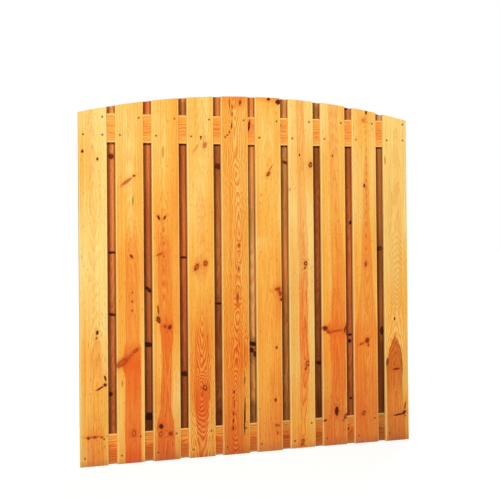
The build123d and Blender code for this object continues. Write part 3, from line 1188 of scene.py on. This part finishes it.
def rear_board(number):
    """A rear plank's wood: what shows in its gap, and a log centre and spare knots drawn by its number."""
    shown = REAR_BOARDS[number]
    rng = np.random.default_rng(REAR_DRAW + number)
    heights = (0, 350, 700, 1050, 1400, 1800)
    lean = rng.uniform(-14, 14)
    spare = tuple(
        Knot(side * across, height, size, size * 1.2, lean * 2, dark, red)
        for side, across, height, size, dark, red in zip(
            rng.choice([-1, 1], 5), rng.uniform(38, 60, 5), rng.uniform(100, 1650, 5),
            rng.uniform(6, 12, 5), rng.uniform(0.5, 1.0, 5), rng.uniform(0.4, 1.0, 5),
        )
    )
    shift = LIT_SHIFT * number
    return Board(
        pith=tuple((height, lean + rng.uniform(-8, 8), rng.uniform(26, 60)) for height in heights),
        ring_width=5.0,
        heart=((0, lean, 44, shown.heart), (1800, lean, 36, 0.8 * shown.heart)),
        tint=tuple((height, tone - 0.1, tone + 0.1) for height, tone in shown.tint),
        contrast=((0, 0.6), (1800, 0.45)),
        shade=shown.shade,
        # The strip painted as lit through the gap, with painted shade beyond it, moves right from plank to
        # plank
        lit_strip=(LIT_FROM + shift, LIT_TO + shift, UNLIT),
        # The front face is kept darker than the far face, as painted shade in the gap
        far_side=rng.uniform(0.5, 1.3),
        knots=shown.knots + spare,
    )


def rail_board(number):
    """A rail's wood from its left end: as noted, with a log centre and knots drawn by its number."""
    rng = np.random.default_rng(RAIL_DRAW + number)
    places = (0, 300, 600, 900, 1200, 1500, 1800)
    knots = tuple(
        Knot(
            rng.uniform(-50, 50), place, rng.uniform(5, 10), rng.uniform(7, 13), rng.uniform(-20, 20),
            rng.uniform(0.3, 0.8),
        )
        for place in rng.uniform(60, 1740, 7)
    )
    pith = tuple((place, rng.uniform(-20, 20), rng.uniform(20, 50)) for place in places)
    noted = RAIL_BOARDS[number]
    return noted._replace(pith=pith, knots=knots + noted.knots)


# Operators


class FENCE_OT_front_planks(bpy.types.Operator):
    """Dress the front planks, each with the knots, heartwood and cracks of its own board"""

    bl_idname = "fence.front_planks"
    bl_label = "Front planks"

    def execute(self, context):
        settings = context.scene.fence
        material = pine_finish("front_pine", settings.pine, grey=1.8)
        nails = nail_axes("front_nails")
        for number, node in enumerate(nodes_named("front_plank"), start=1):
            dress(node, FRONT_BOARDS[number], material, settings, number, nails)
        return {"FINISHED"}


class FENCE_OT_rear_planks(bpy.types.Operator):
    """Dress the rear planks in the redder pine that shows through the gaps"""

    bl_idname = "fence.rear_planks"
    bl_label = "Rear planks"

    def execute(self, context):
        settings = context.scene.fence
        # Dull greys the front faces, as painted shade in the gaps
        material = pine_finish("rear_pine", settings.pine, tone_shift=0.25, dull=0.35)
        nails = nail_axes("rear_nails")
        for number, node in enumerate(nodes_named("rear_plank"), start=1):
            dress(node, rear_board(number), material, settings, REAR_GRAIN + number, nails)
        return {"FINISHED"}


class FENCE_OT_rails(bpy.types.Operator):
    """Dress the two rails, whose grain runs across the panel"""

    bl_idname = "fence.rails"
    bl_label = "Rails"

    def execute(self, context):
        settings = context.scene.fence
        material = pine_finish("rail_pine", settings.pine, tone_shift=0.15, dull=0.12)
        for number, node in enumerate(nodes_named("top_rail") + nodes_named("bottom_rail"), start=1):
            dress_rail(node, rail_board(number), material, settings, RAIL_GRAIN + number)
        return {"FINISHED"}


def dress_rail(node, board, material, settings, seed):
    """Replaces a rail by its surface in pine, laid along the panel with its across running down."""
    low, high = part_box(node)
    width = high.z - low.z
    middle = (low.z + high.z) / 2
    reach = high.x - low.x
    across, through, along = board_surface(
        width, high.y - low.y, 0.0, lambda at: reach + 0.0 * np.asarray(at), board, seed, settings.boards
    )
    no_nails = np.empty((0, 2))
    radius = settings.nails.head_radius
    fields = wood_fields(board, across, through, along, width, no_nails, radius, seed)
    points = np.stack([along + low.x, through + low.y, middle - across], -1).reshape(-1, 3)
    piece = make_mesh(node + "_pine", points, loop_faces(*across.shape), fields)
    finish_piece(piece, node, material)


class FENCE_OT_nails(bpy.types.Operator):
    """Put round wire nails in place of the plain ones"""

    bl_idname = "fence.nails"
    bl_label = "Nails"

    def execute(self, context):
        settings = context.scene.fence.nails
        material = nail_finish("nail_steel", settings)
        for node in ("front_nails", "rear_nails"):
            low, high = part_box(node)
            from_front = abs(low.y) > abs(high.y)
            start = low.y if from_front else high.y
            inward = 1.0 if from_front else -1.0
            piece = make_nails(node, nail_axes(node), start, inward, high.y - low.y, settings)
            finish_piece(piece, node, material)
        return {"FINISHED"}


def make_nails(node, axes, start, inward, reach, settings):
    """Nails turned on their axes: one profile of (radius, depth) carried round a circle at each place."""
    head = settings.head_radius
    dome = settings.head_dome
    profile = np.array([
        (0.02 * head, -dome), (0.5 * head, -0.8 * dome), (0.85 * head, -0.3 * dome), (head, 0.2 * MM),
        (head, 0.9 * MM), (SHANK_RADIUS, HEAD_DEPTH), (SHANK_RADIUS, reach - POINT_LENGTH),
        (0.02 * head, reach),
    ])
    turn = np.linspace(0.0, 2 * math.pi, settings.segments, endpoint=False) * inward
    x = profile[:, 0, None] * np.cos(turn)
    z = profile[:, 0, None] * np.sin(turn)
    y = np.broadcast_to(start + inward * profile[:, 1, None], x.shape)
    one = np.stack([x, y, z], -1)
    place = np.stack([axes[:, 0], np.zeros(len(axes)), axes[:, 1]], -1)
    points = one[None] + place[:, None, None, :]
    rows, columns = x.shape
    faces = np.roll(loop_faces(rows, columns)[:, ::-1], 1, axis=1)
    every = (faces[None] + (np.arange(len(axes)) * rows * columns)[:, None, None]).reshape(-1, 4)
    return make_mesh(node + "_round", points.reshape(-1, 3), every)


class FENCE_OT_stage(bpy.types.Operator):
    """Set up the camera, the soft lamps, the white surroundings and the pale floor"""

    bl_idname = "fence.stage"
    bl_label = "Stage"

    def execute(self, context):
        settings = context.scene.fence.stage
        context.scene.view_settings.view_transform = "Standard"
        make_camera(context.scene, settings)
        make_lamp("key_lamp", settings.key_power, azimuth=-24.0, elevation=33.0, distance=15.0, size=2.1)
        make_lamp("back_lamp", settings.back_power, azimuth=150.0, elevation=40.0, distance=7.0, size=3.5)
        make_world(context.scene, settings.ambient)
        make_floor(settings.floor_colour)
        return {"FINISHED"}


def make_camera(scene, settings):
    """A camera whose axes follow from its turn, tilt and roll."""
    turn, tilt, roll = settings.camera_turn, settings.camera_tilt, settings.camera_roll
    forward = np.array([math.sin(turn) * math.cos(tilt), math.cos(turn) * math.cos(tilt), math.sin(tilt)])
    level = np.array([math.cos(turn), -math.sin(turn), 0.0])
    upright = np.cross(level, forward)
    right = math.cos(roll) * level + math.sin(roll) * upright
    up = math.cos(roll) * upright - math.sin(roll) * level
    data = bpy.data.cameras.new("photo_camera")
    data.lens = settings.camera_lens
    data.sensor_width = 36.0
    data.shift_y = settings.camera_shift
    camera = bpy.data.objects.new("photo_camera", data)
    axes = np.stack([right, up, -forward, np.array(settings.camera_place)], 1)
    camera.matrix_world = Matrix([*axes.tolist(), [0.0, 0.0, 0.0, 1.0]])
    scene.collection.objects.link(camera)
    scene.camera = camera


def make_lamp(name, power, azimuth, elevation, distance, size):
    """A square soft lamp that looks at the panel's middle. Azimuth is 0 in front and grows to the right."""
    turn, rise = math.radians(azimuth), math.radians(elevation)
    away = np.array([math.sin(turn) * math.cos(rise), -math.cos(turn) * math.cos(rise), math.sin(rise)])
    data = bpy.data.lights.new(name, "AREA")
    data.energy = power
    data.size = size
    lamp = bpy.data.objects.new(name, data)
    side = np.cross([0.0, 0.0, 1.0], away)
    side = side / np.linalg.norm(side)
    axes = np.stack([side, np.cross(away, side), away, np.array(AIM) + away * distance], 1)
    lamp.matrix_world = Matrix([*axes.tolist(), [0.0, 0.0, 0.0, 1.0]])
    bpy.context.scene.collection.objects.link(lamp)


def seen_directly(wire):
    """1 for what is seen straight on, in a reflection or through glass, and 0 for light on the panel."""
    rays = ("Is Camera Ray", "Is Glossy Ray", "Is Transmission Ray")
    camera, glossy, through = [wire.node("ShaderNodeLightPath", output=name) for name in rays]
    return (camera + glossy + through).limited()


def make_world(scene, ambient):
    """Even light from all round, which looks plain white to the camera and in reflections."""
    world = bpy.data.worlds.new("white_studio")
    world.use_nodes = True
    tree = world.node_tree
    tree.nodes.clear()
    wire = Wire(tree, None)
    lit = wire.node("ShaderNodeBackground", values={"Color": WHITE, "Strength": ambient})
    white = wire.node("ShaderNodeBackground", values={"Color": WHITE, "Strength": 1.0})
    mixed = wire.node("ShaderNodeMixShader", values={0: seen_directly(wire), 1: lit, 2: white})
    tree.links.new(mixed.socket, tree.nodes.new("ShaderNodeOutputWorld").inputs["Surface"])
    scene.world = world


def make_floor(floor_colour):
    """A pale floor: lit as any surface, and lifted to white for the camera where no shadow falls."""
    corners = np.array([(-1.0, -1.0, 0.0), (1.0, -1.0, 0.0), (1.0, 1.0, 0.0), (-1.0, 1.0, 0.0)])
    points = corners * FLOOR_HALF - [0.0, 0.0, FLOOR_DROP]
    floor = make_mesh("floor", points, np.array([[0, 1, 2, 3]]))
    material = bpy.data.materials.new("pale_floor")
    material.use_nodes = True
    tree = material.node_tree
    tree.nodes.clear()
    wire = Wire(tree, None)
    pale = wire.node("ShaderNodeBsdfDiffuse", values={"Color": colour(floor_colour)})
    east, north, _ = wire.node("ShaderNodeTexCoord", output="Object").parts()
    away = (east * east + north * north).root()
    near = colour((0.72, 0.72, 0.72))
    lift = wire.node("ShaderNodeMix", {"data_type": "RGBA"}, {0: away.rise(1.5, 9.0), 6: near, 7: WHITE}, 2)
    glow = wire.node("ShaderNodeEmission", values={"Color": lift})
    lifted = wire.node("ShaderNodeAddShader", values={0: pale, 1: glow})
    mixed = wire.node("ShaderNodeMixShader", values={0: seen_directly(wire), 1: pale, 2: lifted})
    tree.links.new(mixed.socket, tree.nodes.new("ShaderNodeOutputMaterial").inputs["Surface"])
    floor.data.materials.append(material)


class FENCE_PT_looks(bpy.types.Panel):
    """Buttons and settings of the fence panel"""

    bl_idname = "FENCE_PT_looks"
    bl_label = "Fence Panel"
    bl_space_type = "VIEW_3D"
    bl_region_type = "UI"
    bl_category = "Fence"

    def draw(self, context):
        settings = context.scene.fence
        for operator in OPERATORS:
            self.layout.operator(operator.bl_idname)
        for name in ("boards", "pine", "nails", "stage"):
            group = getattr(settings, name)
            box = self.layout.box()
            box.label(text=name.capitalize())
            for key in group.__annotations__:
                box.prop(group, key)


OPERATORS = (FENCE_OT_front_planks, FENCE_OT_rear_planks, FENCE_OT_rails, FENCE_OT_nails, FENCE_OT_stage)
CLASSES = (
    FENCE_PG_boards, FENCE_PG_pine, FENCE_PG_nails, FENCE_PG_stage, FENCE_PG_settings, *OPERATORS,
    FENCE_PT_looks,
)


def register():
    for cls in CLASSES:
        bpy.utils.register_class(cls)
    bpy.types.Scene.fence = PointerProperty(type=FENCE_PG_settings)


def unregister():
    del bpy.types.Scene.fence
    for cls in reversed(CLASSES):
        bpy.utils.unregister_class(cls)


def main():
    """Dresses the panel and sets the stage."""
    register()
    bpy.ops.fence.front_planks()
    bpy.ops.fence.rear_planks()
    bpy.ops.fence.rails()
    bpy.ops.fence.nails()
    bpy.ops.fence.stage()


if __name__ == "__main__":
    main()
